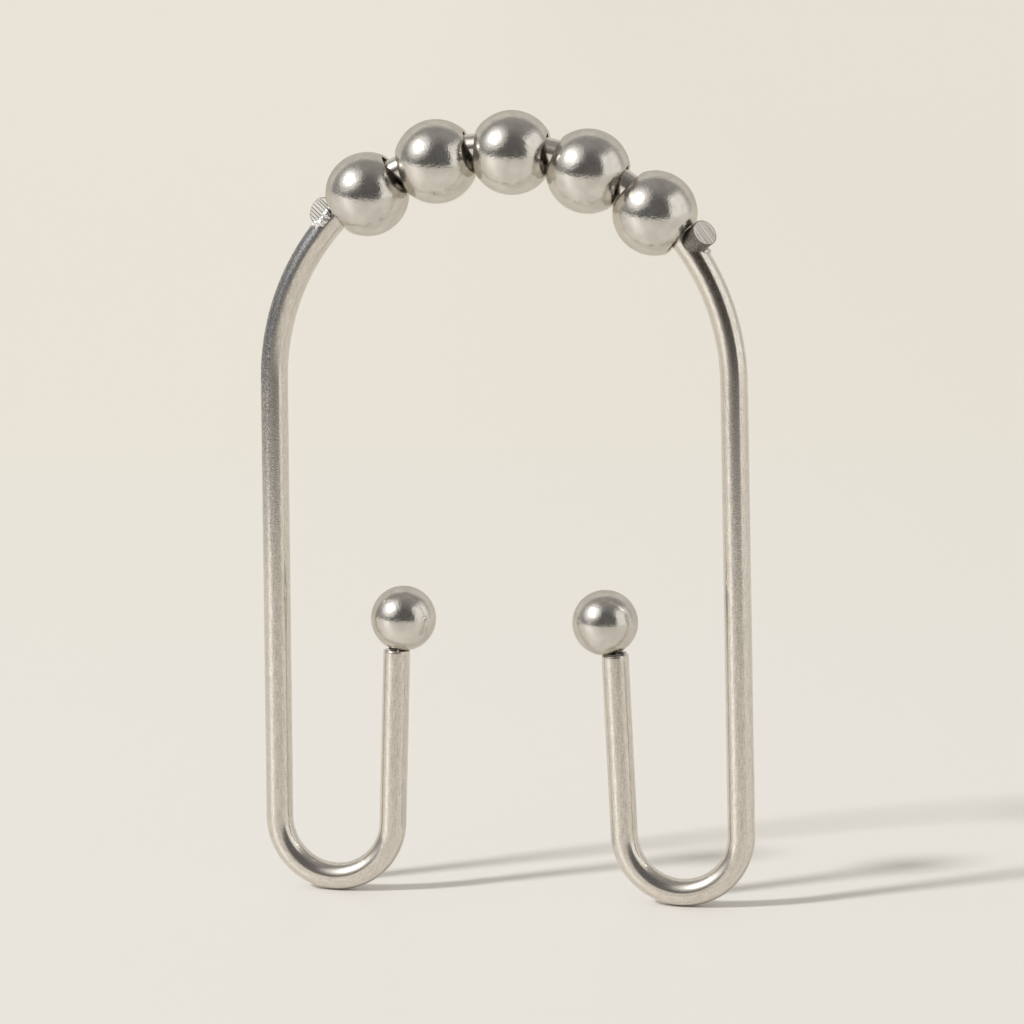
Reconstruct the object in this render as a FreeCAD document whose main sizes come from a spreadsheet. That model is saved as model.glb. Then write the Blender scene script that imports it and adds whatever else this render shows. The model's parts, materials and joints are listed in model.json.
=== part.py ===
import FreeCAD, Part
import math
import os
import Sketcher

# Double curtain hook with a row of roller balls.
# One bent wire makes the arch, two long legs, two U-bends and two short legs. Five bored balls run loose
# on the arch, a stud welded at each end of the row keeps them there, and a ball caps each end of the wire.
# Millimetres and degrees, +Z up, X across the hook, Y through it.
# The origin is the crown of the rod that the balls roll on, on the hook's middle plane.

SIZES = [
    ("wire_dia", 2.6, "round wire"),
    ("arch_radius", 22.5, "arch, to the middle of the wire"),
    ("leg_splay", 0.45, "outward lean of each long leg towards its foot"),
    ("left_leg_drop", 42.44, "from the arch's centre down to the left U-bend's centre"),
    ("right_leg_drop", 42.84, "from the arch's centre down to the right U-bend's centre"),
    ("bend_radius", 5.7, "U-bend, to the middle of the wire"),
    ("short_leg_lean", 2.3, "inward lean of each short leg towards its end"),
    ("end_drop", 26.0, "from the arch's centre down to the wire's ends"),
    ("wire_end_round", 0.12, "rounded edge of the wire's cut ends"),
    ("roller_dia", 8.0, "roller ball"),
    ("bore_play", 1.3, "how much wider than the wire a roller ball's bore is"),
    ("bore_round", 0.15, "rounded rim of a bore"),
    ("bore_gap", 0.06, "between the wire and the top of a bore"),
    ("roller_gap", 0.08, "between the rims of neighbouring roller balls"),
    ("open_gap", 0.12, "more room between the third roller ball and the fourth"),
    ("end_lift", 0.2, "how much higher on the wire the end balls sit, against their stops"),
    ("row_turn", 3.5, "turn of the middle roller ball along the arch, towards +X"),
    ("roller_skew_1", 3, "first roller ball, from -X, loose on the wire with its +X end to the back"),
    ("roller_skew_2", 6, "second roller ball, in the same way"),
    ("roller_skew_3", 5, "third roller ball, in the same way"),
    ("roller_skew_4", 2, "fourth roller ball, in the same way"),
    ("roller_skew_5", 1, "fifth roller ball, in the same way"),
    ("tip_dia", 6.25, "ball on each end of the wire"),
    ("left_tip_offset", 0.6, "left end ball, inward from the wire's axis"),
    ("right_tip_offset", 0.8, "right end ball, inward from the wire's axis"),
    ("tip_gap", 0.17, "between an end ball and the cut end of the wire"),
    ("tip_weld_inset", 0.4, "weld in that gap, in from the wire's side"),
    ("stop_gap", 0.06, "between a stop stud and the roller ball beside it"),
    ("left_stop_dia", 2.5, "left stop stud"),
    ("left_stop_reach", 0.35, "from the wire's side out to the middle of the left stud's sawn face"),
    ("left_stop_turn", 80, "left stud, round the wire from the front towards the outside"),
    ("left_face_turn", 45, "way the left stud's sawn face looks, measured in the same way"),
    ("right_stop_dia", 2.55, "right stop stud"),
    ("right_stop_reach", 1.4, "from the wire's side out to the middle of the right stud's sawn face"),
    ("right_stop_turn", 58, "right stud, round the wire from the front towards the outside"),
    ("right_face_turn", 54, "way the right stud's sawn face looks, measured in the same way"),
]

# Lengths and angles that follow from the sizes, in the order in which they build on each other.
LAYOUT = [
    ("bore_radius", "(sizes.wire_dia + sizes.bore_play) / 2",
     "bore of a roller ball"),
    ("roller_circle", "sizes.arch_radius - sizes.bore_play / 2 + sizes.bore_gap",
     "radius on which the roller balls' centres lie, hanging on the wire"),
    ("end_circle", "layout.roller_circle + sizes.end_lift",
     "radius on which the centres of the two end balls lie"),
    ("arch_depth", "layout.roller_circle - sizes.roller_dia / 2",
     "depth of the arch's centre below the rod's crown"),
    ("rim_out", "layout.bore_radius + sizes.bore_round",
     "centre of a rim's rounding, out from the bore's axis"),
    ("rim_along", "sqrt((sizes.roller_dia / 2 - sizes.bore_round)^2 - layout.rim_out^2)",
     "centre of a rim's rounding, along the bore from the ball's centre"),
    ("rim_inside", "layout.roller_circle - layout.rim_out",
     "radius at which the rims of neighbouring balls come closest"),
    ("roller_pitch", "2 * (atan(layout.rim_along / layout.rim_inside)"
                     " + asin((sizes.bore_round + sizes.roller_gap / 2)"
                     " / sqrt(layout.rim_inside^2 + layout.rim_along^2))) / 1deg",
     "turn along the arch from one ball to the next"),
    ("open_turn", "2 * asin(sizes.open_gap / 2 / layout.roller_circle) / 1deg",
     "turn that the wider gap adds"),
    ("end_height", "-layout.arch_depth - sizes.end_drop",
     "height of the wire's ends"),
]


def side_layout(side):
    """Lengths and angles of one side of the hook."""
    return [
        (f"{side}_leg_foot", f"(sizes.arch_radius - sizes.bend_radius"
                             f" + sizes.{side}_leg_drop * sin(sizes.leg_splay)) / cos(sizes.leg_splay)",
         "distance of the U-bend's centre from the middle plane"),
        (f"{side}_end_out", f"layout.{side}_leg_foot - sizes.bend_radius * cos(sizes.short_leg_lean)"
                            f" - (sizes.{side}_leg_drop - sizes.end_drop"
                            " + sizes.bend_radius * sin(sizes.short_leg_lean)) * tan(sizes.short_leg_lean)",
         "distance of the wire's end from the middle plane"),
        (f"{side}_stop_along", "layout.rim_along + sizes.bore_round + sizes.stop_gap"
                               f" + sizes.{side}_stop_dia / 2",
         "distance of the stop's axis from the middle of the end ball"),
        (f"{side}_stop_pitch", f"asin(layout.{side}_stop_along / (layout.end_circle"
                               f" + layout.rim_out * sin(sizes.{side}_stop_turn))) / 1deg",
         "turn along the arch from the end ball to the stop"),
    ]


LAYOUT += side_layout("left") + side_layout("right")

# Each roller ball's turn along the arch, from the middle of the hook towards +X, and the circle it sits on.
ROLLERS = [
    ("(sizes.row_turn - 2 * layout.roller_pitch)", "layout.end_circle"),
    ("(sizes.row_turn - layout.roller_pitch)", "layout.roller_circle"),
    ("sizes.row_turn", "layout.roller_circle"),
    ("(sizes.row_turn + layout.roller_pitch + layout.open_turn)", "layout.roller_circle"),
    ("(sizes.row_turn + 2 * layout.roller_pitch + layout.open_turn)", "layout.end_circle"),
]
LEFT_STOP_TURN = f"({ROLLERS[0][0]} - layout.left_stop_pitch)"
RIGHT_STOP_TURN = f"({ROLLERS[-1][0]} + layout.right_stop_pitch)"

# Sketcher's numbers for the points of a line or an arc, and for a sketch's own origin and upright axis.
START, END, CENTRE = 1, 2, 3
ORIGIN, UPRIGHT = -1, -2


def make_sizes(doc):
    """Spreadsheet with one named cell for each size."""
    sheet = doc.addObject("Spreadsheet::Sheet", "sizes")
    for row, (alias, value, meaning) in enumerate(SIZES, 1):
        sheet.set(f"A{row}", meaning)
        sheet.set(f"B{row}", str(value))
        sheet.setAlias(f"B{row}", alias)
    doc.recompute()
    return sheet


def make_layout(doc):
    """Set of values worked out from the spreadsheet."""
    layout = doc.addObject("App::VarSet", "layout")
    for name, expression, meaning in LAYOUT:
        layout.addProperty("App::PropertyFloat", name, "Layout", meaning)
        layout.setExpression(name, expression)
        doc.recompute()
    return layout


def origin_plane(body, role):
    """One of a body's own three planes."""
    return next(feature for feature in body.Origin.OriginFeatures if feature.Role == role)


def add_sketch(body, name, role):
    """Empty sketch on one of the body's own planes."""
    sketch = body.newObject("Sketcher::SketchObject", name)
    sketch.AttachmentSupport = (origin_plane(body, role), [""])
    sketch.MapMode = "FlatFace"
    return sketch


def constrain(sketch, name, expression, *constraint):
    """Dimension of a sketch, bound to an expression. Its last value is the size that it is drawn at."""
    index = sketch.addConstraint(Sketcher.Constraint(*constraint))
    sketch.renameConstraint(index, name)
    sketch.setExpression(f"Constraints.{name}", expression)


def arc(centre, radius, start, end):
    """Arc in a sketch, anticlockwise between two angles in degrees."""
    circle = Part.Circle(FreeCAD.Vector(*centre, 0), FreeCAD.Vector(0, 0, 1), radius)
    return Part.ArcOfCircle(circle, math.radians(start), math.radians(end))


def line(start, end):
    """Straight line in a sketch."""
    return Part.LineSegment(FreeCAD.Vector(*start, 0), FreeCAD.Vector(*end, 0))


def polar(centre, radius, angle):
    """Point of a circle at an angle in degrees."""
    turn = math.radians(angle)
    return (centre[0] + radius * math.cos(turn), centre[1] + radius * math.sin(turn))


def add_half_path(body, sizes, layout, side, outward):
    """Half of the wire's path in the hook's plane: quarter of the arch, long leg, U-bend and short leg."""
    sign = "+" if outward > 0 else "-"
    leg_drop = sizes.getPropertyByName(f"{side}_leg_drop")
    leg_foot = layout.getPropertyByName(f"{side}_leg_foot")
    end_out = layout.getPropertyByName(f"{side}_end_out")

    # Angles on the +X side, and the same ones seen in a mirror on the -X side.
    arch_angles = (sizes.leg_splay, 90)
    bend_angles = (sizes.short_leg_lean - 180, sizes.leg_splay)
    low, high = START, END
    if outward < 0:
        arch_angles = (90, 180 - sizes.leg_splay)
        bend_angles = (180 - sizes.leg_splay, 360 - sizes.short_leg_lean)
        low, high = END, START

    arch_centre = (0, -layout.arch_depth)
    bend_centre = (outward * leg_foot, -layout.arch_depth - leg_drop)
    leg_top = polar(arch_centre, sizes.arch_radius, arch_angles[low - START])
    leg_end = polar(bend_centre, sizes.bend_radius, bend_angles[high - START])
    short_leg_foot = polar(bend_centre, sizes.bend_radius, bend_angles[low - START])
    path = add_sketch(body, f"{side}_path", "XZ_Plane")
    arch = path.addGeometry(arc(arch_centre, sizes.arch_radius, *arch_angles))
    leg = path.addGeometry(line(leg_end, leg_top))
    bend = path.addGeometry(arc(bend_centre, sizes.bend_radius, *bend_angles))
    short_leg = path.addGeometry(line(short_leg_foot, (outward * end_out, layout.end_height)))
    path.addConstraint(Sketcher.Constraint("Tangent", arch, low, leg, END))
    path.addConstraint(Sketcher.Constraint("Tangent", leg, START, bend, high))
    path.addConstraint(Sketcher.Constraint("Tangent", bend, low, short_leg, START))
    path.addConstraint(Sketcher.Constraint("PointOnObject", arch, CENTRE, UPRIGHT))
    path.addConstraint(Sketcher.Constraint("PointOnObject", arch, high, UPRIGHT))
    constrain(path, "arch_depth", "layout.arch_depth",
              "DistanceY", arch, CENTRE, ORIGIN, START, layout.arch_depth)
    constrain(path, "arch_radius", "sizes.arch_radius", "Radius", arch, sizes.arch_radius)
    constrain(path, "leg_angle", f"90 {sign} sizes.leg_splay",
              "Angle", leg, math.radians(90 + outward * sizes.leg_splay))
    constrain(path, "bend_radius", "sizes.bend_radius", "Radius", bend, sizes.bend_radius)
    constrain(path, "leg_drop", f"sizes.{side}_leg_drop",
              "DistanceY", bend, CENTRE, arch, CENTRE, leg_drop)
    constrain(path, "short_leg_angle", f"90 {sign} sizes.short_leg_lean",
              "Angle", short_leg, math.radians(90 + outward * sizes.short_leg_lean))
    constrain(path, "end_drop", "sizes.end_drop",
              "DistanceY", short_leg, END, arch, CENTRE, sizes.end_drop)
    return path


def make_wire(doc, sizes, layout):
    """Bent wire: one round section at the crown of the arch, swept to both ends."""
    body = doc.addObject("PartDesign::Body", "wire_frame")

    # Round section, standing across the path at the crown of the arch.
    crown = sizes.arch_radius - layout.arch_depth
    section = add_sketch(body, "wire_section", "YZ_Plane")
    middle = FreeCAD.Vector(0, crown, 0)
    ring = section.addGeometry(Part.Circle(middle, FreeCAD.Vector(0, 0, 1), sizes.wire_dia / 2))
    section.addConstraint(Sketcher.Constraint("PointOnObject", ring, CENTRE, UPRIGHT))
    constrain(section, "crown", "sizes.arch_radius - layout.arch_depth",
              "DistanceY", ORIGIN, START, ring, CENTRE, crown)
    constrain(section, "wire_dia", "sizes.wire_dia", "Diameter", ring, sizes.wire_dia)

    for side, outward in (("left", -1), ("right", 1)):
        swept = body.newObject("PartDesign::AdditivePipe", f"{side}_half")
        swept.Profile = section
        swept.Spine = (add_half_path(body, sizes, layout, side, outward), [])
        body.Tip = swept
        doc.recompute()

    # The cut ends are the only flat faces, and each has one round edge.
    flat = [face for face in swept.Shape.Faces if isinstance(face.Surface, Part.Plane)]
    rims = [f"Edge{number}" for number, edge in enumerate(swept.Shape.Edges, 1)
            if any(edge.isSame(rim) for face in flat for rim in face.Edges)]
    rounded = body.newObject("PartDesign::Fillet", "cut_ends")
    rounded.Base = (swept, rims)
    rounded.setExpression("Radius", "sizes.wire_end_round")
    body.Tip = rounded
    return body


def make_roller(doc, sizes, layout, number, turn, circle):
    """Bored ball on the arch, loose on the wire. Its bore runs along its own X axis."""
    name = f"roller_ball_{number}"
    body = doc.addObject("PartDesign::Body", name)
    radius = sizes.roller_dia / 2
    bore = layout.bore_radius
    along, out = layout.rim_along, layout.rim_out
    meeting = math.degrees(math.atan2(out, along))

    # Half section: the ball's outside, a rounded rim at each end, and the wall of the bore.
    profile = add_sketch(body, f"{name}_profile", "XZ_Plane")
    outside = profile.addGeometry(arc((0, 0), radius, meeting, 180 - meeting))
    rim = profile.addGeometry(arc((along, out), sizes.bore_round, -90, meeting))
    far_rim = profile.addGeometry(arc((-along, out), sizes.bore_round, 180 - meeting, 270))
    wall = profile.addGeometry(line((-along, bore), (along, bore)))
    profile.addConstraint(Sketcher.Constraint("Coincident", outside, CENTRE, ORIGIN, START))
    profile.addConstraint(Sketcher.Constraint("Tangent", outside, START, rim, END))
    profile.addConstraint(Sketcher.Constraint("Tangent", outside, END, far_rim, START))
    profile.addConstraint(Sketcher.Constraint("Tangent", rim, START, wall, END))
    profile.addConstraint(Sketcher.Constraint("Tangent", far_rim, END, wall, START))
    profile.addConstraint(Sketcher.Constraint("Horizontal", wall))
    profile.addConstraint(Sketcher.Constraint("Equal", rim, far_rim))
    constrain(profile, "radius", "sizes.roller_dia / 2", "Radius", outside, radius)
    constrain(profile, "bore_round", "sizes.bore_round", "Radius", rim, sizes.bore_round)
    constrain(profile, "bore_radius", "layout.bore_radius",
              "DistanceY", ORIGIN, START, wall, START, bore)

    ball = body.newObject("PartDesign::Revolution", f"{name}_turned")
    ball.Profile = profile
    ball.ReferenceAxis = (profile, ["H_Axis"])
    ball.Angle = 360
    body.Tip = ball
    body.setExpression("Placement", (
        f"placement(vector({circle} * sin({turn}); 0; {circle} * cos({turn}) - layout.arch_depth);"
        f" rotation(vector(0; 1; 0); {turn}) * rotation(vector(0; 0; 1); sizes.roller_skew_{number}))"))
    return body


def make_tip(doc, side, outward):
    """Solid ball on one end of the wire, with the weld that holds it there."""
    ball = doc.addObject("Part::Sphere", f"{side}_tip_sphere")
    ball.setExpression("Radius", "sizes.tip_dia / 2")
    ball.setExpression("Placement.Base.x", f"{-outward} * sizes.{side}_tip_offset")
    ball.setExpression("Placement.Base.z", "sizes.tip_gap + sizes.tip_dia / 2")
    weld = doc.addObject("Part::Cylinder", f"{side}_tip_weld")
    weld.setExpression("Radius", "sizes.wire_dia / 2 - sizes.tip_weld_inset")
    weld.setExpression("Height", "sizes.tip_gap + sizes.tip_dia / 2")
    tip = doc.addObject("Part::Fuse", f"tip_ball_{side}")
    tip.Base = ball
    tip.Tool = weld
    tip.Refine = True
    tip.setExpression("Placement", (
        f"placement(vector({outward} * layout.{side}_end_out; 0; layout.end_height);"
        f" rotation(vector(0; 1; 0); {-outward} * sizes.short_leg_lean))"))
    return tip


def make_stop(doc, side, turn):
    """Stud on the arch, square to the wire, sawn off at a slant and cut to sit on the wire's round side."""
    reach = f"(sizes.wire_dia / 2 + sizes.{side}_stop_reach)"
    stud = doc.addObject("Part::Cylinder", f"{side}_stop_stud")
    stud.setExpression("Radius", f"sizes.{side}_stop_dia / 2")
    stud.setExpression("Height", f"{reach} + 2 * sizes.{side}_stop_dia")

    # Block with its underside in the saw cut, wide enough to take the whole end off.
    slant = f"(sizes.{side}_stop_turn - sizes.{side}_face_turn)"
    half = f"(2 * sizes.{side}_stop_dia)"
    waste = doc.addObject("Part::Box", f"{side}_stop_waste")
    for edge in ("Length", "Width", "Height"):
        waste.setExpression(edge, f"2 * {half}")
    waste.setExpression("Placement", (
        f"placement(vector(-{half}; -{half} * cos({slant}); {reach} - {half} * sin({slant}));"
        f" rotation(vector(1; 0; 0); {slant}))"))
    sawn = doc.addObject("Part::Cut", f"{side}_stop_sawn")
    sawn.Base = stud
    sawn.Tool = waste
    # The stud starts on the wire's axis, points up the arch's radius, and is then leant to the front.
    sawn.setExpression("Placement", (
        f"placement(vector(sizes.arch_radius * sin({turn}); 0;"
        f" sizes.arch_radius * cos({turn}) - layout.arch_depth);"
        f" rotation(vector(0; 1; 0); {turn})"
        f" * rotation(vector(1; 0; 0); 90 - sizes.{side}_stop_turn))"))
    wire = doc.addObject("Part::Torus", f"{side}_stop_seat")
    wire.setExpression("Radius1", "sizes.arch_radius")
    wire.setExpression("Radius2", "sizes.wire_dia / 2")
    wire.setExpression("Placement", (
        "placement(vector(0; 0; -layout.arch_depth); rotation(vector(1; 0; 0); 90))"))
    stop = doc.addObject("Part::Cut", f"stop_pin_{side}")
    stop.Base = sawn
    stop.Tool = wire
    return stop


def check(doc, parts):
    """Stops the build if any object failed or any sub-part is not one sound solid."""
    failed = [item.Name for item in doc.Objects if "Invalid" in item.State or "Error" in item.State]
    if failed:
        raise RuntimeError(f"failed objects: {failed}")
    for part in parts:
        if part.Shape.isNull() or not part.Shape.isValid() or len(part.Shape.Solids) != 1:
            raise RuntimeError(f"unsound shape: {part.Label}")


def main():
    doc = FreeCAD.newDocument("curtain_hook")
    sizes = make_sizes(doc)
    layout = make_layout(doc)
    parts = [make_wire(doc, sizes, layout)]
    for number, (turn, circle) in enumerate(ROLLERS, 1):
        parts.append(make_roller(doc, sizes, layout, number, turn, circle))
    parts.append(make_tip(doc, "left", -1))
    parts.append(make_tip(doc, "right", 1))
    parts.append(make_stop(doc, "left", LEFT_STOP_TURN))
    parts.append(make_stop(doc, "right", RIGHT_STOP_TURN))
    for part in parts:
        part.Label = part.Name
    doc.recompute()
    check(doc, parts)

    os.makedirs("parts", exist_ok=True)
    for part in parts:
        part.Shape.exportStep(f"parts/{part.Label}.step")


main()
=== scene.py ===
import json
import math

import bmesh
import bpy
from mathutils import Matrix, Vector, noise


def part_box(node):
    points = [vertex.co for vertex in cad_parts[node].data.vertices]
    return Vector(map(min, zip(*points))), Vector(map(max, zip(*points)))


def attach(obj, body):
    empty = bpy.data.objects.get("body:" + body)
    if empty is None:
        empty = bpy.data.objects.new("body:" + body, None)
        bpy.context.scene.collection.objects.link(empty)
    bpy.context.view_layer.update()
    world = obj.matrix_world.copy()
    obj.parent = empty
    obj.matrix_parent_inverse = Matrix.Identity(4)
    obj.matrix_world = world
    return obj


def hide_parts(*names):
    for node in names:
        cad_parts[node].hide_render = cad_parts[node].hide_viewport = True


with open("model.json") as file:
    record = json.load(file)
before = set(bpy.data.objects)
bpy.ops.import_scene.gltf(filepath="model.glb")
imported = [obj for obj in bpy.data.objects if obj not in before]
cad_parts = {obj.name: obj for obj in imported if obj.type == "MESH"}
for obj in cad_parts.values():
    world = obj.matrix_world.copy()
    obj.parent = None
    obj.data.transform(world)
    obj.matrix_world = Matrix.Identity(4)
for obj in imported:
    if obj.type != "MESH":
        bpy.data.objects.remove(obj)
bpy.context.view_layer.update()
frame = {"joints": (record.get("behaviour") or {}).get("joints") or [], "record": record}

# Double curtain hook: bent wire with two U-shaped hooks, five bored roller balls on its arch, a sawn stop
# stud welded on at each end of the row, and a ball welded to each end of the wire. Metres, +Z up.

# Sizes of the wire that its box doesn't give. Angles are in degrees. Each end is drawn a little way up into
# its weld, and a short last stretch keeps the shading of the rounded cut off the rest of the leg.
ARCH_RADIUS = 0.0225
BEND_RADIUS = 0.0057
END_DROP = 0.026
LEG_SPLAY = 0.45
SHORT_LEG_LEAN = 2.3
WIRE_END_ROUND = 0.00012
END_COLLAR = 0.0003
END_WELD_RISE = 0.0002
END_SLOPE = {"left": 0, "right": -2}

# Sizes of the roller balls, and where the rounding of a bore's edge has its centre: out from the bore's axis,
# and along it from the middle of the ball.
ROLLER_RADIUS = 0.004
BORE_RADIUS = 0.00195
BORE_ROUND = 0.00015
RIM_OUT = BORE_RADIUS + BORE_ROUND
RIM_ALONG = math.sqrt((ROLLER_RADIUS - BORE_ROUND) ** 2 - RIM_OUT ** 2)

# Sizes of the end balls and of the welds under them.
TIP_RADIUS = 0.003125
TIP_GAP = 0.00017
NECK_SINK = 0.0003
NECK_WAVER = 0.08
NECK_WAVER_SCALE = 2500

# Welds of the end balls: radius of the neck, and drops by their angle round the wire from +X, distance from
# its axis, height above its cut end, and radius.
TIP_WELDS = {
    "left": {"neck": 0.0008, "drops": [(-112, 0.00112, 0.00024, 0.00011), (-70, 0.00118, 0.00026, 0.00009),
                                       (-140, 0.00118, 0.00026, 0.00009), (-20, 0.0010, 0.00028, 0.00012),
                                       (60, 0.0010, 0.00026, 0.00014), (140, 0.0010, 0.00026, 0.00014)]},
    "right": {"neck": 0.00105, "drops": [(-24, 0.00112, 0.00036, 0.00015), (-6, 0.00096, 0.00036, 0.0002),
                                         (60, 0.0009, 0.0003, 0.0002), (120, 0.0009, 0.0002, 0.00016)]},
}

# Stop studs: angles round the wire from the front towards the outside, and angle of the saw marks to the
# wire. A stud starts a little way from the wire's axis, and its bar is longer than it needs until it is sawn.
STOP_GAP = 0.00006
STOPS = {
    "left": {"radius": 0.00125, "reach": 0.00035, "turn": 80, "face_turn": 45, "saw_turn": 100},
    "right": {"radius": 0.001275, "reach": 0.0014, "turn": 58, "face_turn": 54, "saw_turn": 179},
}
STUD_SINK = 0.0006
SPARE_RADII = 5

# Saw marks. Their spacing and depth waver by a share, and each mark has its own place in the noise.
SAW_PITCH = 0.00029
SAW_WIDTH = 0.00015
SAW_DEPTH = 0.00006
SAWN_RIM = 0.00012
PITCH_WAVER = 0.3
DEPTH_SHARE = 0.75
DEPTH_WAVER = 0.5
MARK_NOISE_STEP = 2.3
SIDE_NOISE_STEP = 5.7

# How squarely a face has to look out of the saw cut to lie flat in it, or to be part of it.
FLAT_ON_CUT = 0.999
PART_OF_CUT = 0.3

# Welds of the studs, lump by lump: place along the wire from the stud towards the row of balls, angle round
# the wire from the front, and radius.
STOP_WELDS = {
    "left": [(-0.0013, 46, 0.00026), (-0.00095, 33, 0.00040), (-0.0005, 26, 0.00046), (-0.0001, 22, 0.00044),
             (0.0003, 24, 0.00046), (0.00065, 30, 0.00038), (0.00095, 38, 0.0002), (-0.0006, 9, 0.0002),
             (-0.00125, 20, 0.00017), (-0.001, 130, 0.0003), (-0.0002, 146, 0.00036), (0.0006, 134, 0.0003)],
    "right": [(-0.00135, 74, 0.00026), (-0.0016, 84, 0.00018), (-0.00135, 60, 0.0002),
              (-0.00155, 98, 0.00016), (-0.0009, 104, 0.0003), (0.0, 118, 0.00034), (0.0008, 106, 0.00028)],
}
WELD_LUMPINESS = 0.35
LUMP_NOISE_SCALE = 1e4

# How finely the round shapes are divided, and the angles above which an edge is drawn sharp.
WIRE_SEGMENTS = 72
ARCH_STEPS = 90
LONG_LEG_STEPS = 12
BEND_STEPS = 72
SHORT_LEG_STEPS = 6
END_ROUND_STEPS = 4
BORE_ROUND_STEPS = 10
ROLLER_STEPS = 90
ROLLER_SEGMENTS = 144
TIP_STEPS = 120
NECK_SEGMENTS = 96
STUD_SEGMENTS = 96
LUMP_SUBDIVISIONS = 3
SHARP_ABOVE = 40
STUD_SHARP_ABOVE = 25
SAME_POINT = 1e-7

# Where the wire runs, from the box of its solid and from the places of the two hooks.
wire_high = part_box("wire_frame")[1]
WIRE_RADIUS = wire_high.y
CROWN = wire_high.z - WIRE_RADIUS
ARCH_CENTRE = Vector((0, 0, CROWN - ARCH_RADIUS))
END_HEIGHT = ARCH_CENTRE.z - END_DROP
BEND_RISE = Vector((0, 0, BEND_RADIUS - WIRE_RADIUS))
BEND_CENTRES = {mount["name"].split("_")[0]: Vector(mount["pos_m"]) + BEND_RISE
                for mount in frame["record"]["mounts"] if mount["name"].endswith("_hook")}
SIDES = {"left": -1, "right": 1}

# The camera stands where the photograph was taken from. Its roll and angles are in degrees.
CAMERA_AZIMUTH = 14.14
CAMERA_ELEVATION = 7.0
CAMERA_ROLL = 0.82
CAMERA_DISTANCE = 0.45
CAMERA_AIM = Vector((0.00085, 0, -0.0302))
CAMERA_LENS = 166.2
SENSOR_WIDTH = 36

ACROSS = Vector((0, 1, 0))


def turned(degrees, axis):
    """Turn about an axis through the origin."""
    return Matrix.Rotation(math.radians(degrees), 4, axis)


# Meshes


def finish_piece(bm, name, body, node, materials, sharp_above=SHARP_ABOVE):
    """Makes the bmesh a piece that rides on a body and, where a node is named, stands for it."""
    bmesh.ops.remove_doubles(bm, verts=bm.verts, dist=SAME_POINT)
    bmesh.ops.recalc_face_normals(bm, faces=bm.faces)
    for face in bm.faces:
        face.smooth = True
    for edge in bm.edges:
        edge.smooth = edge.calc_face_angle(0) < math.radians(sharp_above)
    mesh = bpy.data.meshes.new(name)
    bm.to_mesh(mesh)
    bm.free()
    for material in materials:
        mesh.materials.append(material)
    piece = bpy.data.objects.new(name, mesh)
    bpy.context.scene.collection.objects.link(piece)
    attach(piece, body)
    if node:
        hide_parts(node)


def edges_of(geometry):
    return [item for item in geometry if isinstance(item, bmesh.types.BMEdge)]


def verts_of(geometry):
    return [item for item in geometry if isinstance(item, bmesh.types.BMVert)]


def add_lump(bm, place, radius):
    """Drop of weld metal, round but uneven."""
    made = bmesh.ops.create_icosphere(bm, subdivisions=LUMP_SUBDIVISIONS, radius=radius)
    for vert in made["verts"]:
        vert.co *= 1 + WELD_LUMPINESS * noise.noise(vert.co / radius + place * LUMP_NOISE_SCALE)
    bmesh.ops.translate(bm, verts=made["verts"], vec=place)


# Bent wire


class WireWalk:
    """Wire that grows ring by ring, as it comes out of a bending tool. Each point keeps its place on the wire
    as if it were still straight, which its finish follows."""

    def __init__(self, bm, ring, side):
        self.bm = bm
        self.ring = ring
        self.side = side
        self.place = bm.verts.layers.float_vector["straightened"]
        self.run = 0

    def _step(self, run, **move):
        made = bmesh.ops.spin(self.bm, geom=self.ring, axis=ACROSS, steps=1, use_duplicate=False, **move)
        self.ring = made["geom_last"]
        self.run += run
        for vert in verts_of(self.ring):
            vert[self.place].z = self.side * self.run

    def bend(self, centre, degrees, radius, steps):
        angle = math.radians(degrees) / steps
        for _ in range(steps):
            self._step(radius * angle, cent=centre, angle=self.side * angle, dvec=Vector())

    def straight(self, direction, length, steps):
        move = direction.normalized() * length / steps
        for _ in range(steps):
            self._step(length / steps, cent=Vector(), angle=0, dvec=move)


def cut_end(bm, ring, cut_slope):
    """Caps the last ring with a face that slopes across the wire, and rounds its edge."""
    verts = verts_of(ring)
    middle = sum((vert.co for vert in verts), Vector()) / len(verts)
    bmesh.ops.rotate(bm, verts=verts, cent=middle, matrix=turned(cut_slope, "Y"))
    rim = edges_of(ring)
    bmesh.ops.edgeloop_fill(bm, edges=rim)
    bmesh.ops.bevel(bm, geom=rim, offset=WIRE_END_ROUND, affect="EDGES", segments=END_ROUND_STEPS,
                    profile=0.5, material=-1)


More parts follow.
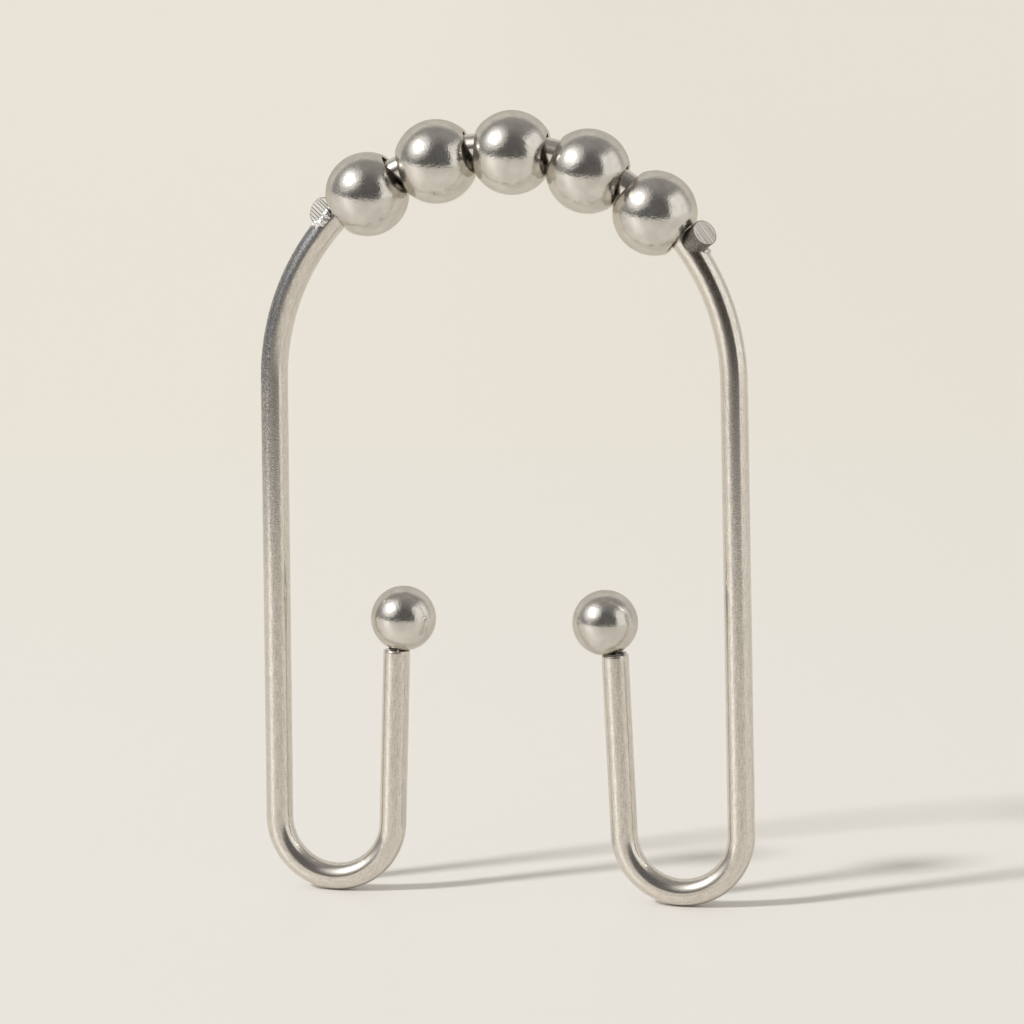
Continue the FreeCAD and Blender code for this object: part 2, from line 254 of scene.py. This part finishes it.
def make_wire(material):
    """Wire bent both ways from the crown of the arch: long leg, U-bend and short leg on each side."""
    bm = bmesh.new()
    bmesh.ops.create_circle(bm, segments=WIRE_SEGMENTS, radius=WIRE_RADIUS)
    place = bm.verts.layers.float_vector.new("straightened")
    for vert in bm.verts:
        vert[place] = vert.co
    bmesh.ops.rotate(bm, verts=bm.verts, matrix=turned(90, "Y"))
    bmesh.ops.translate(bm, verts=bm.verts, vec=(0, 0, CROWN))
    crown_ring = bm.verts[:] + bm.edges[:]
    splay, lean = math.radians(LEG_SPLAY), math.radians(SHORT_LEG_LEAN)
    arch_end = ARCH_CENTRE.z + ARCH_RADIUS * math.sin(splay)
    for side, outward in SIDES.items():
        bend_centre = BEND_CENTRES[side]
        bend_start = bend_centre.z + BEND_RADIUS * math.sin(splay)
        bend_end = bend_centre.z - BEND_RADIUS * math.sin(lean)
        down = Vector((outward * math.sin(splay), 0, -math.cos(splay)))
        up = Vector((-outward * math.sin(lean), 0, math.cos(lean)))
        short_leg = (END_HEIGHT - bend_end) / math.cos(lean) + END_WELD_RISE - END_COLLAR
        walk = WireWalk(bm, crown_ring, outward)
        walk.bend(ARCH_CENTRE, 90 - LEG_SPLAY, ARCH_RADIUS, ARCH_STEPS)
        walk.straight(down, (arch_end - bend_start) / math.cos(splay), LONG_LEG_STEPS)
        walk.bend(bend_centre, 180 + LEG_SPLAY - SHORT_LEG_LEAN, BEND_RADIUS, BEND_STEPS)
        walk.straight(up, short_leg, SHORT_LEG_STEPS)
        walk.straight(up, END_COLLAR, 1)
        cut_end(bm, walk.ring, END_SLOPE[side])
    finish_piece(bm, "bent_wire", "frame", "wire_frame", [material])


# Roller balls


def trace(bm, ring, centre, degrees, steps):
    """Carries the last point of a profile in the XZ plane round an arc. Returns the new last point."""
    made = bmesh.ops.spin(bm, geom=ring, cent=centre, axis=ACROSS, angle=math.radians(degrees), steps=steps,
                          use_duplicate=False, dvec=Vector())
    return verts_of(made["geom_last"])


def turn_profile(bm, axis, steps):
    """Turns the whole profile once round an axis through the origin."""
    bmesh.ops.spin(bm, geom=bm.verts[:] + bm.edges[:], axis=axis, angle=math.tau, steps=steps, use_merge=True)


def make_roller(number, joint, material):
    """Bored ball: its half section, turned about the bore, then set on the wire."""
    meeting = math.degrees(math.atan2(RIM_OUT, RIM_ALONG))
    bm = bmesh.new()
    point = bmesh.ops.create_vert(bm, co=(-RIM_ALONG, 0, BORE_RADIUS))["vert"]
    point = trace(bm, point, Vector((-RIM_ALONG, 0, RIM_OUT)), 90 + meeting, BORE_ROUND_STEPS)
    point = trace(bm, point, Vector(), 180 - 2 * meeting, ROLLER_STEPS)
    point = trace(bm, point, Vector((RIM_ALONG, 0, RIM_OUT)), 90 + meeting, BORE_ROUND_STEPS)
    wall = bmesh.ops.extrude_vert_indiv(bm, verts=point)["verts"]
    bmesh.ops.translate(bm, verts=wall, vec=(-2 * RIM_ALONG, 0, 0))
    bmesh.ops.remove_doubles(bm, verts=bm.verts, dist=SAME_POINT)
    turn_profile(bm, (1, 0, 0), ROLLER_SEGMENTS)
    bore_axis = Vector(joint["axis"])
    bmesh.ops.rotate(bm, verts=bm.verts, matrix=Vector((1, 0, 0)).rotation_difference(bore_axis).to_matrix())
    bmesh.ops.translate(bm, verts=bm.verts, vec=Vector(joint["pos_m"]))
    finish_piece(bm, f"bored_ball_{number}", joint["child"], f"roller_ball_{number}",
                 [material])


# End balls


def wire_end(side):
    """Frame at one end of the wire, with Z along the wire and out of its end."""
    bend_centre, outward = BEND_CENTRES[side], SIDES[side]
    lean = math.radians(SHORT_LEG_LEAN)
    rise = END_HEIGHT - bend_centre.z + BEND_RADIUS * math.sin(lean)
    out = abs(bend_centre.x) - BEND_RADIUS * math.cos(lean) - rise * math.tan(lean)
    return Matrix.Translation((outward * out, 0, END_HEIGHT)) @ turned(-outward * SHORT_LEG_LEAN, "Y")


def make_tip_ball(side, material):
    """Solid ball on one end of the wire."""
    low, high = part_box(f"tip_ball_{side}")
    centre = Vector(((low.x + high.x) / 2, 0, high.z - TIP_RADIUS))
    bm = bmesh.new()
    point = bmesh.ops.create_vert(bm, co=(0, 0, TIP_RADIUS))["vert"]
    trace(bm, point, Vector(), 180, TIP_STEPS)
    turn_profile(bm, (0, 0, 1), TIP_STEPS)
    bmesh.ops.translate(bm, verts=bm.verts, vec=centre)
    finish_piece(bm, f"end_ball_{side}", "frame", f"tip_ball_{side}", [material])


def make_tip_weld(side, drop_material, neck_shade_material):
    """Neck of weld metal that starts inside the wire and ends inside the ball, and drops round its edge."""
    bm = bmesh.new()
    weld = TIP_WELDS[side]
    rings = []
    for height in (-NECK_SINK, 0.0, TIP_GAP / 2, TIP_GAP, 2 * TIP_GAP):
        ring = bmesh.ops.create_circle(bm, segments=NECK_SEGMENTS, radius=weld["neck"])["verts"]
        bmesh.ops.translate(bm, verts=ring, vec=(0, 0, height))
        for vert in ring:
            waver = noise.noise(vert.co * NECK_WAVER_SCALE + Vector((SIDES[side], 0, 0)))
            vert.co.xy *= 1 + NECK_WAVER * waver
        rings += dict.fromkeys(edge for vert in ring for edge in vert.link_edges)
    bmesh.ops.bridge_loops(bm, edges=rings)
    neck = bm.faces[:]
    for turn, out, height, radius in weld["drops"]:
        add_lump(bm, turned(turn, "Z") @ Vector((out, 0, height)), radius)
    # The neck takes the second material, painted shade in the gap between the wire and the ball.
    for face in neck:
        face.material_index = 1
    bmesh.ops.transform(bm, verts=bm.verts, matrix=wire_end(side))
    finish_piece(bm, f"end_weld_{side}", "frame", None, [drop_material, neck_shade_material])


# Stop studs


def stop_place(side):
    """Frame on the wire's axis at a stop stud, with X along the arch, Y to the back and Z out of the arch."""
    stop = STOPS[side]
    ball = Vector(frame["joints"][0 if side == "left" else -1]["pos_m"]) - ARCH_CENTRE
    along = RIM_ALONG + BORE_ROUND + STOP_GAP + stop["radius"]
    clear_of = ball.length + RIM_OUT * math.sin(math.radians(stop["turn"]))
    turn = math.atan2(ball.x, ball.z) + SIDES[side] * math.asin(along / clear_of)
    arch = Matrix.Rotation(turn, 4, "Y")
    return Matrix.Translation(ARCH_CENTRE) @ arch @ Matrix.Translation((0, 0, ARCH_RADIUS))


def saw_off_bar(bm, stop, middle, look):
    """Round bar along Z, sawn off through a point, with a narrow rim pressed in round the cut."""
    depth = bm.verts.layers.float.new("saw_mark")
    bar = bmesh.ops.create_circle(bm, segments=STUD_SEGMENTS, radius=stop["radius"])["verts"]
    bmesh.ops.translate(bm, verts=bar, vec=(0, 0, STUD_SINK))
    bottom = bm.edges[:]
    made = bmesh.ops.extrude_edge_only(bm, edges=bottom)["geom"]
    bmesh.ops.translate(bm, verts=verts_of(made), vec=(0, 0, stop["reach"] + SPARE_RADII * stop["radius"]))
    bmesh.ops.edgeloop_fill(bm, edges=bottom)
    cut = bmesh.ops.bisect_plane(bm, geom=bm.verts[:] + bm.edges[:] + bm.faces[:], plane_co=middle,
                                 plane_no=look, clear_outer=True)["geom_cut"]
    face = bmesh.ops.edgeloop_fill(bm, edges=edges_of(cut))["faces"]
    border = bmesh.ops.inset_region(bm, faces=face, thickness=SAWN_RIM)["faces"]
    inside = {vert for item in face for vert in item.verts}
    # Points of the pressed-in rim are marked for the sawn face's painted shade.
    for vert in {vert for item in border for vert in item.verts} - inside:
        vert.co -= look * SAW_DEPTH
        vert[depth] = 1


def press_saw_marks(bm, side, middle, look):
    """Marks of the saw across the cut: three cuts for each, of which the middle one is pressed in."""
    stop = STOPS[side]
    depth = bm.verts.layers.float["saw_mark"]
    across = Matrix.Rotation(math.radians(stop["saw_turn"] + 90), 3, look) @ Vector((1, 0, 0))
    count = math.ceil(stop["radius"] / look.z / SAW_PITCH)
    pressed = []
    for mark in range(-count, count + 1):
        waver = noise.noise(Vector((mark * MARK_NOISE_STEP, SIDES[side] * SIDE_NOISE_STEP, 0)))
        for step in (-0.5, 0, 0.5):
            place = middle + across * (SAW_PITCH * (mark + PITCH_WAVER * waver) + SAW_WIDTH * step)
            flat = [item for item in bm.faces if item.normal.dot(look) > FLAT_ON_CUT]
            geometry = flat + list(dict.fromkeys(edge for item in flat for edge in item.edges))
            geometry += dict.fromkeys(vert for item in flat for vert in item.verts)
            made = bmesh.ops.bisect_plane(bm, geom=geometry, plane_co=place, plane_no=across)["geom_cut"]
            if step == 0:
                pressed.append((verts_of(made), DEPTH_SHARE + DEPTH_WAVER * waver))
    # Pressed-in points are marked for the sawn face's painted shade.
    for verts, depth_share in pressed:
        for vert in verts:
            vert.co -= look * SAW_DEPTH * depth_share
            vert[depth] = 1


def make_stud(side, sawn_material, shade_painted_material):
    """Stop stud: round bar, cut off at a slant, with the marks of the saw across the cut."""
    stop = STOPS[side]
    slant = math.radians(stop["turn"] - stop["face_turn"])
    middle = Vector((0, 0, WIRE_RADIUS + stop["reach"]))
    look = Vector((0, -math.sin(slant), math.cos(slant)))
    bm = bmesh.new()
    saw_off_bar(bm, stop, middle, look)
    press_saw_marks(bm, side, middle, look)
    # The sides of the stud take the second material, which is painted shade.
    for face in bm.faces:
        face.material_index = 0 if face.normal.dot(look) > PART_OF_CUT else 1
    bmesh.ops.transform(bm, verts=bm.verts, matrix=stop_place(side) @ turned(90 - stop["turn"], "X"))
    finish_piece(bm, f"sawn_stud_{side}", "frame", f"stop_pin_{side}",
                 [sawn_material, shade_painted_material], sharp_above=STUD_SHARP_ABOVE)


def make_stud_weld(side, material):
    """Lumps of weld metal round the foot of a stud."""
    place = stop_place(side)
    bm = bmesh.new()
    for along, turn, radius in STOP_WELDS[side]:
        at = turned(90 - turn, "X") @ Vector((0, 0, WIRE_RADIUS))
        add_lump(bm, place @ (at - SIDES[side] * Vector((along, 0, 0))), radius)
    finish_piece(bm, f"stud_weld_{side}", "frame", None, [material])


# Nodes of the materials


def feed(tree, socket, value):
    """Links another node's socket to this one, or sets it to a plain value."""
    if isinstance(value, bpy.types.NodeSocket):
        tree.links.new(value, socket)
    else:
        socket.default_value = value


def new_node(tree, kind, *inputs, **values):
    """Adds a node. Values in order feed its inputs, and a named one its input or property of that name."""
    made = tree.nodes.new(kind)
    for name, value in values.items():
        if name.replace("_", " ") not in made.inputs:
            setattr(made, name, value)
    for socket, value in zip(made.inputs, inputs):
        feed(tree, socket, value)
    for name, value in values.items():
        if name.replace("_", " ") in made.inputs:
            feed(tree, made.inputs[name.replace("_", " ")], value)
    return made


def maths(tree, operation, *inputs):
    return new_node(tree, "ShaderNodeMath", *inputs, operation=operation).outputs["Value"]


def fade(tree, value, start, end, low=0.0, high=1.0):
    """Value carried from one range to another, and held at its ends."""
    return new_node(tree, "ShaderNodeMapRange", value, start, end, low, high).outputs["Result"]


def share(tree, way, direction):
    """How far a place or a direction points one way."""
    return new_node(tree, "ShaderNodeVectorMath", way, direction, operation="DOT_PRODUCT").outputs["Value"]


def mix_colours(tree, part, first, second):
    """Mixes two colours, each a plain one or another node's socket."""
    first, second = ((*colour, 1) if isinstance(colour, tuple) else colour for colour in (first, second))
    return new_node(tree, "ShaderNodeMix", data_type="RGBA", Factor=part, A=first, B=second).outputs["Result"]


def object_place(tree):
    return new_node(tree, "ShaderNodeTexCoord").outputs["Object"]


def new_material(name):
    material = bpy.data.materials.new(name)
    material.use_nodes = True
    material.node_tree.nodes.clear()
    return material, material.node_tree


def make_grain_group():
    """Fine grain of worked steel: an uneven value, and a normal that it ruffles."""
    group = bpy.data.node_groups.new("steel_grain", "ShaderNodeTree")
    for name, kind in (("Place", "NodeSocketVector"), ("Scale", "NodeSocketFloat"),
                       ("Depth", "NodeSocketFloat")):
        group.interface.new_socket(name, in_out="INPUT", socket_type=kind)
    for name, kind in (("Grain", "NodeSocketFloat"), ("Normal", "NodeSocketVector")):
        group.interface.new_socket(name, in_out="OUTPUT", socket_type=kind)
    given = new_node(group, "NodeGroupInput").outputs
    fine = new_node(group, "ShaderNodeTexNoise", Vector=given["Place"], Scale=given["Scale"], Detail=1.0,
                    Roughness=0.5)
    bump = new_node(group, "ShaderNodeBump", Height=fine.outputs["Fac"], Distance=given["Depth"])
    new_node(group, "NodeGroupOutput", fine.outputs["Fac"], bump.outputs["Normal"])
    return group


grain_group = make_grain_group()


def add_grain(tree, place, scale, depth):
    """Places the grain in a material. Returns its value and its normal."""
    made = new_node(tree, "ShaderNodeGroup", node_tree=grain_group)
    for name, value in (("Place", place), ("Scale", scale), ("Depth", depth)):
        feed(tree, made.inputs[name], value)
    return made.outputs["Grain"], made.outputs["Normal"]


def finish_steel(tree, **inputs):
    """Ends a material with a metal surface."""
    steel = new_node(tree, "ShaderNodeBsdfPrincipled", **inputs)
    new_node(tree, "ShaderNodeOutputMaterial", Surface=steel.outputs["BSDF"])


# Finishes

WIRE_COLOURS = (0.60, 0.555, 0.495), (0.80, 0.75, 0.685)
BALL_COLOURS = (0.62, 0.59, 0.54), (0.70, 0.67, 0.615)
BALL_EDGE_COLOUR = (0.80, 0.77, 0.73, 1)
# Sawn faces by side: the right one is painted lighter, as painted light on a face turned from the key light.
SAWN_COLOURS_WITH_PAINTED_LIGHT = {"left": (0.60, 0.575, 0.54), "right": (0.86, 0.82, 0.77)}
# Painted shade in the saw marks and along the pressed-in rim of a sawn face.
SAW_MARK_SHADE_COLOUR = (0.06, 0.052, 0.048)
# Dark steel of the stud sides and the weld necks: painted shade.
SHADE_PAINTED_COLOURS = (0.13, 0.12, 0.11), (0.38, 0.35, 0.32)
WELD_COLOURS = (0.62, 0.60, 0.58), (0.93, 0.92, 0.91)
SHADE_PAINTED_METALLIC = 0.9

# Grains: scale to the metre, and depth. The wire's streaks are its grain drawn out along the wire.
WIRE_STREAKS = (9000.0, 0.0)
WIRE_SPECKLE = (7500.0, 0.000005)
BALL_GRAIN = (5200.0, 0.000017)
BALL_CLOUD = (900.0, 0.0)
SAWN_GRAIN = (11000.0, 0.00001)
SHADE_PAINTED_GRAIN = (9000.0, 0.00001)
WELD_GRAIN = (5000.0, 0.00004)
STREAK_STRETCH = (1, 1, 0.12)

# Where a grain's value changes the colour, from the first of two colours to the second.
WIRE_MOTTLE = (0.35, 0.65)
BALL_MOTTLE = (0.35, 0.65)
SHADE_PAINTED_MOTTLE = (0.4, 0.7)
WELD_MOTTLE = (0.35, 0.6)

# Where a grain's value changes the roughness, and the roughness at its low and its high end.
GRAIN_SPAN = (0.3, 0.7)
WIRE_ROUGHNESS = (0.25, 0.14)
BALL_ROUGHNESS = (0.13, 0.23)
SAWN_ROUGHNESS = (0.76, 0.64)
SHADE_PAINTED_ROUGHNESS = (0.5, 0.35)
WELD_ROUGHNESS = (0.5, 0.28)

# Painted shade and stain on a sawn face: the saw marks and the rim carry painted shade, and the grain adds
# random stain to it; where the grain adds and how much, and where the sum turns dark.
SHADE_AND_STAIN_SPAN = (0.35, 0.7)
SHADE_AND_STAIN_ADDED = (-0.2, 0.25)
SHADE_AND_STAIN_DARK = (0.15, 0.85)

# Dark bands on the wire beside the studs. The right one is painted shade, brown, where the wire mirrors
# the stud and the dark room; the left one darkens the wire's front and outer side. Along the wire from the
# crown, where it starts and where it has faded; round the wire from the front towards the outside, in
# degrees, where each edge starts and ends; its colour, and how much rougher it is than the wire. The wire's
# speckle thins it.
DARK_BANDS = [
    {"along": ((-0.0165, -0.018), (-0.034, -0.055)), "round": ((-4, 6), (90, 130)),
     "colour": (0.16, 0.165, 0.175), "roughness": 0.2},
    {"along": ((0.020, 0.0215), (0.0215, 0.040)), "round": ((0, 12), (30, 36)),
     "colour": (0.21, 0.135, 0.085), "roughness": 0.03},
]
BAND_SPECKLE = (0.65, 0.45)
BAND_THICKNESS = (0.35, 1.0)


def make_drawn_steel():
    """Satin wire with fine streaks along its length, from the die that it was drawn through."""
    material, tree = new_material("drawn_steel")
    place = new_node(tree, "ShaderNodeAttribute", attribute_name="straightened").outputs["Vector"]
    streaked = new_node(tree, "ShaderNodeVectorMath", place, STREAK_STRETCH, operation="MULTIPLY")
    streaks = add_grain(tree, streaked.outputs["Vector"], *WIRE_STREAKS)[0]
    speckle, normal = add_grain(tree, place, *WIRE_SPECKLE)
    mean = maths(tree, "MULTIPLY_ADD", speckle, 0.5, maths(tree, "MULTIPLY", streaks, 0.5))
    colour = mix_colours(tree, fade(tree, mean, *WIRE_MOTTLE), *WIRE_COLOURS)
    x, y, run = new_node(tree, "ShaderNodeSeparateXYZ", place).outputs
    turn = maths(tree, "ARCTAN2", maths(tree, "MULTIPLY", x, -1.0), maths(tree, "MULTIPLY", y, -1.0))
    roughness = fade(tree, mean, *GRAIN_SPAN, *WIRE_ROUGHNESS)
    # Dark bands beside the studs; the one on the right is painted shade.
    for band in DARK_BANDS:
        mask = fade(tree, speckle, *BAND_SPECKLE, *BAND_THICKNESS)
        angles = [map(math.radians, edge) for edge in band["round"]]
        for value, (start, end) in ((run, band["along"]), (turn, angles)):
            mask = maths(tree, "MULTIPLY", mask, fade(tree, value, *start, 0.0, 1.0))
            mask = maths(tree, "MULTIPLY", mask, fade(tree, value, *end, 1.0, 0.0))
        colour = mix_colours(tree, mask, colour, band["colour"])
        roughness = maths(tree, "MULTIPLY_ADD", mask, band["roughness"], roughness)
    finish_steel(tree, Metallic=1.0, Normal=normal, Base_Color=colour, Roughness=roughness)
    return material


def make_ball_steel():
    """Tumbled ball: bright, with a fine grain that breaks up its highlights."""
    material, tree = new_material("tumbled_steel")
    place = object_place(tree)
    grain, normal = add_grain(tree, place, *BALL_GRAIN)
    cloud = add_grain(tree, place, *BALL_CLOUD)[0]
    finish_steel(tree, Metallic=1.0, Normal=normal, Specular_Tint=BALL_EDGE_COLOUR,
                 Base_Color=mix_colours(tree, fade(tree, cloud, *BALL_MOTTLE), *BALL_COLOURS),
                 Roughness=fade(tree, grain, *GRAIN_SPAN, *BALL_ROUGHNESS))
    return material


def make_sawn_steel(side):
    """Sawn face: bare between the marks, with painted shade in them and along the rim."""
    material, tree = new_material(f"sawn_steel_{side}")
    mark = new_node(tree, "ShaderNodeAttribute", attribute_name="saw_mark").outputs["Fac"]
    grain, normal = add_grain(tree, object_place(tree), *SAWN_GRAIN)
    shade_and_stain = maths(tree, "ADD", mark, fade(tree, grain, *SHADE_AND_STAIN_SPAN, *SHADE_AND_STAIN_ADDED))
    dark = fade(tree, shade_and_stain, *SHADE_AND_STAIN_DARK)
    # Each side's sawn colour carries painted light.
    finish_steel(tree, Metallic=1.0, Normal=normal,
                 Base_Color=mix_colours(tree, dark, SAWN_COLOURS_WITH_PAINTED_LIGHT[side], SAW_MARK_SHADE_COLOUR),
                 Roughness=fade(tree, grain, *GRAIN_SPAN, *SAWN_ROUGHNESS))
    return material


def make_shade_painted_steel():
    """Painted shade: dark steel for the sides of the studs and the necks of the end welds."""
    material, tree = new_material("shade_painted_steel")
    grain, normal = add_grain(tree, object_place(tree), *SHADE_PAINTED_GRAIN)
    finish_steel(tree, Metallic=SHADE_PAINTED_METALLIC, Normal=normal,
                 Base_Color=mix_colours(tree, fade(tree, grain, *SHADE_PAINTED_MOTTLE), *SHADE_PAINTED_COLOURS),
                 Roughness=fade(tree, grain, *GRAIN_SPAN, *SHADE_PAINTED_ROUGHNESS))
    return material


def make_weld_steel():
    """Weld metal: bright beads with dull hollows."""
    material, tree = new_material("weld_steel")
    grain, normal = add_grain(tree, object_place(tree), *WELD_GRAIN)
    finish_steel(tree, Metallic=1.0, Normal=normal,
                 Base_Color=mix_colours(tree, fade(tree, grain, *WELD_MOTTLE), *WELD_COLOURS),
                 Roughness=fade(tree, grain, *GRAIN_SPAN, *WELD_ROUGHNESS))
    return material


# Studio: floor, light and camera

# Floor: its colour near the hook and far behind it, how far to the front the fade between them starts and
# ends, and where it darkens to the right and to what share. In reflections it ends at the edge of a table.
FLOOR_SIZE = 40
FLOOR_COLOUR = (0.846, 0.829, 0.803)
FAR_FLOOR_COLOUR = (0.845, 0.818, 0.746)
FLOOR_FADE = (-0.05, -0.45)
FLOOR_SHADE = (-0.06, 0.10)
FLOOR_SHADE_DEPTH = 0.957
FLOOR_ROUGHNESS = 0.5
TABLE_EDGE = 0.32
TABLE_EDGE_BLUR = 0.01

# Light: even light from all round, the backdrop that the camera sees, and a key light by its angle round Z
# from +X, its height and its width, in degrees.
AMBIENT_COLOUR = (0.53, 0.505, 0.453)
BACKDROP_COLOUR = (0.80, 0.77, 0.70)
SUN_AZIMUTH = -136
SUN_ELEVATION = 38
SUN_ANGLE = 8
SUN_STRENGTH = 2.4

# Room that the metal mirrors: colour by the share of a direction that points to the front, and a white panel
# on the right, between two angles from the front and below a height. Each pair is where the panel fades.
ROOM_COLOUR = (0.13, 0.127, 0.127)
ROOM_COLOURS = (
    (-1.0, (0.72, 0.70, 0.66)),
    (-0.45, (0.76, 0.74, 0.69)),
    (-0.38, (0.37, 0.36, 0.35)),
    (0.0, (0.33, 0.325, 0.32)),
    (0.30, (0.30, 0.295, 0.295)),
    (0.54, (0.225, 0.22, 0.22)),
    (0.74, (0.14, 0.137, 0.137)),
    (1.0, ROOM_COLOUR),
)
PANEL_COLOUR = (1.05, 1.04, 1.0)
PANEL_START = (39, 43)
PANEL_END = (114, 92)
PANEL_TOP = (0.75, 0.60)

# Glow round the key light, as it is mirrored: how far a direction points to the light where the glow ends
# and where it is full.
GLOW_COLOUR = (1.2, 1.19, 1.17)
GLOW = (0.81, 0.985)

front = Vector((math.sin(math.radians(CAMERA_AZIMUTH)), -math.cos(math.radians(CAMERA_AZIMUTH)), 0))
rightward = Vector((-front.y, front.x, 0))
sunward = turned(SUN_AZIMUTH, "Z") @ turned(-SUN_ELEVATION, "Y") @ Vector((1, 0, 0))


def make_floor_material():
    """Pale floor. In reflections it ends at a table's edge, with the dark room and the panel beyond."""
    material, tree = new_material("pale_floor")
    place = object_place(tree)
    to_front, to_right = share(tree, place, front), share(tree, place, rightward)
    pale = mix_colours(tree, fade(tree, to_front, *FLOOR_FADE), FLOOR_COLOUR, FAR_FLOOR_COLOUR)
    shade = fade(tree, to_right, *FLOOR_SHADE, 1.0, FLOOR_SHADE_DEPTH)
    shaded = new_node(tree, "ShaderNodeVectorMath", pale, operation="SCALE", Scale=shade).outputs["Vector"]
    paper = new_node(tree, "ShaderNodeBsdfPrincipled", Base_Color=shaded, Roughness=FLOOR_ROUGHNESS)
    turn = maths(tree, "ARCTAN2", to_right, to_front)
    panel = fade(tree, turn, *map(math.radians, PANEL_START))
    room = new_node(tree, "ShaderNodeEmission", mix_colours(tree, panel, ROOM_COLOUR, PANEL_COLOUR))
    mirrored = new_node(tree, "ShaderNodeLightPath").outputs["Is Glossy Ray"]
    past_edge = fade(tree, to_front, TABLE_EDGE - TABLE_EDGE_BLUR, TABLE_EDGE + TABLE_EDGE_BLUR)
    beyond = maths(tree, "MULTIPLY", mirrored, past_edge)
    shown = new_node(tree, "ShaderNodeMixShader", beyond, paper.outputs["BSDF"], room.outputs["Emission"])
    new_node(tree, "ShaderNodeOutputMaterial", Surface=shown.outputs["Shader"])
    return material


def make_floor(material):
    """Floor that both U-bends stand on, tilted from one to the other."""
    bm = bmesh.new()
    bmesh.ops.create_grid(bm, x_segments=1, y_segments=1, size=FLOOR_SIZE / 2)
    across = BEND_CENTRES["right"] - BEND_CENTRES["left"]
    bmesh.ops.rotate(bm, verts=bm.verts, matrix=turned(-math.degrees(math.atan2(across.z, across.x)), "Y"))
    standing = (BEND_CENTRES["right"] + BEND_CENTRES["left"]) / 2
    bmesh.ops.translate(bm, verts=bm.verts, vec=standing - Vector((0, 0, BEND_RADIUS + WIRE_RADIUS)))
    mesh = bpy.data.meshes.new("floor")
    bm.to_mesh(mesh)
    bm.free()
    mesh.materials.append(material)
    floor = bpy.data.objects.new("floor", mesh)
    bpy.context.scene.collection.objects.link(floor)


def mirrored_room(tree):
    """Room as the metal mirrors it: dark in front and pale behind, with the panel and the glow."""
    way = new_node(tree, "ShaderNodeTexCoord").outputs["Generated"]
    to_front, to_right = share(tree, way, front), share(tree, way, rightward)
    ramp = new_node(tree, "ShaderNodeValToRGB", fade(tree, to_front, -1.0, 1.0))
    elements = ramp.color_ramp.elements
    for index, (front_share, colour) in enumerate(ROOM_COLOURS):
        position = (front_share + 1) / 2
        element = elements[index] if index < 2 else elements.new(position)
        element.position = position
        element.color = (*colour, 1)
    turn = maths(tree, "ARCTAN2", to_right, to_front)
    sides = maths(tree, "MULTIPLY", fade(tree, turn, *map(math.radians, PANEL_START)),
                  fade(tree, turn, *map(math.radians, PANEL_END)))
    panel = maths(tree, "MULTIPLY", sides, fade(tree, share(tree, way, (0, 0, 1)), *PANEL_TOP))
    with_panel = mix_colours(tree, panel, ramp.outputs["Color"], PANEL_COLOUR)
    return mix_colours(tree, fade(tree, share(tree, way, sunward), *GLOW), with_panel, GLOW_COLOUR)


def make_world():
    """Even light on the floor, a pale background for the camera, and a room for the metal to mirror."""
    world = bpy.data.worlds.new("studio")
    bpy.context.scene.world = world
    world.use_nodes = True
    tree = world.node_tree
    tree.nodes.clear()
    path = new_node(tree, "ShaderNodeLightPath").outputs
    mirrored = new_node(tree, "ShaderNodeBackground", mirrored_room(tree))
    even = new_node(tree, "ShaderNodeBackground", (*AMBIENT_COLOUR, 1))
    backdrop = new_node(tree, "ShaderNodeBackground", (*BACKDROP_COLOUR, 1))
    unseen = new_node(tree, "ShaderNodeMixShader", path["Is Glossy Ray"], even.outputs["Background"],
                      mirrored.outputs["Background"])
    seen = new_node(tree, "ShaderNodeMixShader", path["Is Camera Ray"], unseen.outputs["Shader"],
                    backdrop.outputs["Background"])
    new_node(tree, "ShaderNodeOutputWorld", Surface=seen.outputs["Shader"])


def make_sun():
    """Key light from the front left."""
    lamp = bpy.data.lights.new("key", "SUN")
    lamp.energy = SUN_STRENGTH
    lamp.angle = math.radians(SUN_ANGLE)
    sun = bpy.data.objects.new("key", lamp)
    sun.rotation_euler = sunward.to_track_quat("Z", "Y").to_euler()
    bpy.context.scene.collection.objects.link(sun)


def make_camera():
    """Camera that looks back at its aim from the front, a little from above."""
    lens = bpy.data.cameras.new("camera")
    lens.lens = CAMERA_LENS
    lens.sensor_width = SENSOR_WIDTH
    camera = bpy.data.objects.new("camera", lens)
    elevation = math.radians(CAMERA_ELEVATION)
    back = front * math.cos(elevation) + Vector((0, 0, math.sin(elevation)))
    upright = back.to_track_quat("Z", "Y").to_matrix().to_4x4()
    camera.matrix_world = (Matrix.Translation(CAMERA_AIM + back * CAMERA_DISTANCE) @ upright
                           @ turned(-CAMERA_ROLL, "Z"))
    bpy.context.scene.collection.objects.link(camera)
    bpy.context.scene.camera = camera


drawn_steel = make_drawn_steel()
ball_steel = make_ball_steel()
shade_painted_steel = make_shade_painted_steel()
weld_steel = make_weld_steel()

make_wire(drawn_steel)
for number, joint in enumerate(frame["joints"], 1):
    make_roller(number, joint, ball_steel)
for side in SIDES:
    make_tip_ball(side, ball_steel)
    make_tip_weld(side, weld_steel, shade_painted_steel)
    make_stud(side, make_sawn_steel(side), shade_painted_steel)
    make_stud_weld(side, weld_steel)

make_floor(make_floor_material())
make_world()
make_sun()
make_camera()
bpy.context.scene.view_settings.view_transform = "Standard"
